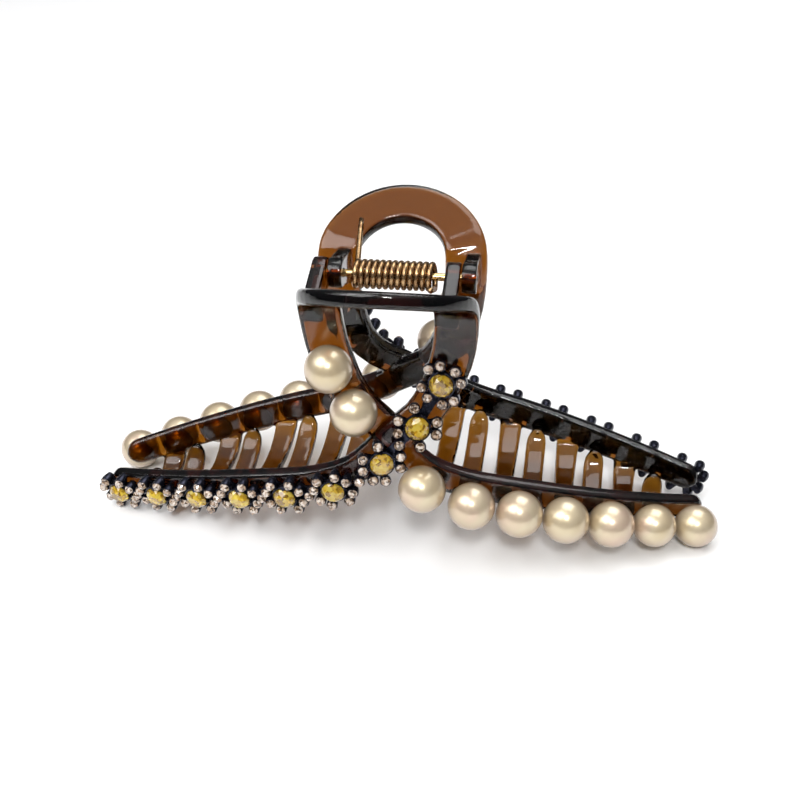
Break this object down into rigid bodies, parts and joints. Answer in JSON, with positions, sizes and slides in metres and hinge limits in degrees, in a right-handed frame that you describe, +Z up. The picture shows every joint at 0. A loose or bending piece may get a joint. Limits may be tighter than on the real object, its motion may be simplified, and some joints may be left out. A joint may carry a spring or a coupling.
{
  "type": "claw hair clip",
  "caption": "Claw hair clip of clear brown plastic: two crossed-strand jaws with curved teeth on a sprung hinge, trimmed with pearls and with flowers of faceted stones.",
  "frame": {"origin": "centre of the bounding box's bottom face; the clip stands closed on its last pearls", "axes": "+X along the hinge axis and the arms' reach, +Z up towards the handles; the front jaw is on the -Y side and the back jaw on the +Y side"},
  "size_m": [0.1128, 0.0398, 0.0553],
  "materials": {
    "brown_plastic": "clear brown moulded plastic, polished",
    "pin_brass": "bright drawn wire",
    "spring_brass": "bronze-coloured spring wire",
    "cup_metal": "dark gunmetal cup chain",
    "clear_stone": "faceted champagne stones, foiled backs",
    "pearl": "pearlescent coating",
    "topaz_stone": "faceted golden stones, foiled backs"
  },
  "bodies": {
    "back_half": {"back_jaw": "brown_plastic", "hinge_pin": "pin_brass", "torsion_spring": "spring_brass", "back_flower_chain": "cup_metal", "back_small_stones": "clear_stone", "back_pearl_1": "pearl", "back_pearl_2": "pearl", "back_pearl_3": "pearl", "back_pearl_4": "pearl", "back_pearl_5": "pearl", "back_pearl_6": "pearl", "back_pearl_7": "pearl", "back_pearl_8": "pearl", "back_pearl_9": "pearl", "back_centre_stone_1": "topaz_stone", "back_centre_stone_2": "topaz_stone", "back_centre_stone_3": "topaz_stone", "back_centre_stone_4": "topaz_stone", "back_centre_stone_5": "topaz_stone", "back_centre_stone_6": "topaz_stone", "back_centre_stone_7": "topaz_stone", "back_centre_stone_8": "topaz_stone", "back_centre_stone_9": "topaz_stone"},
    "front_half": {"front_jaw": "brown_plastic", "front_flower_chain": "cup_metal", "front_small_stones": "clear_stone", "front_pearl_1": "pearl", "front_pearl_2": "pearl", "front_pearl_3": "pearl", "front_pearl_4": "pearl", "front_pearl_5": "pearl", "front_pearl_6": "pearl", "front_pearl_7": "pearl", "front_pearl_8": "pearl", "front_pearl_9": "pearl", "front_centre_stone_1": "topaz_stone", "front_centre_stone_2": "topaz_stone", "front_centre_stone_3": "topaz_stone", "front_centre_stone_4": "topaz_stone", "front_centre_stone_5": "topaz_stone", "front_centre_stone_6": "topaz_stone", "front_centre_stone_7": "topaz_stone", "front_centre_stone_8": "topaz_stone", "front_centre_stone_9": "topaz_stone"}
  },
  "joints": [
    {"name": "jaw_hinge", "type": "hinge", "parent": "back_half", "child": "front_half", "pos_m": [0, 0, 0.04789], "axis": [-1, 0, 0], "range_deg": [0, 70], "stiffness_Nm_per_rad": 0.15, "springref_deg": -57.3, "deforming": ["torsion_spring"]}
  ]
}
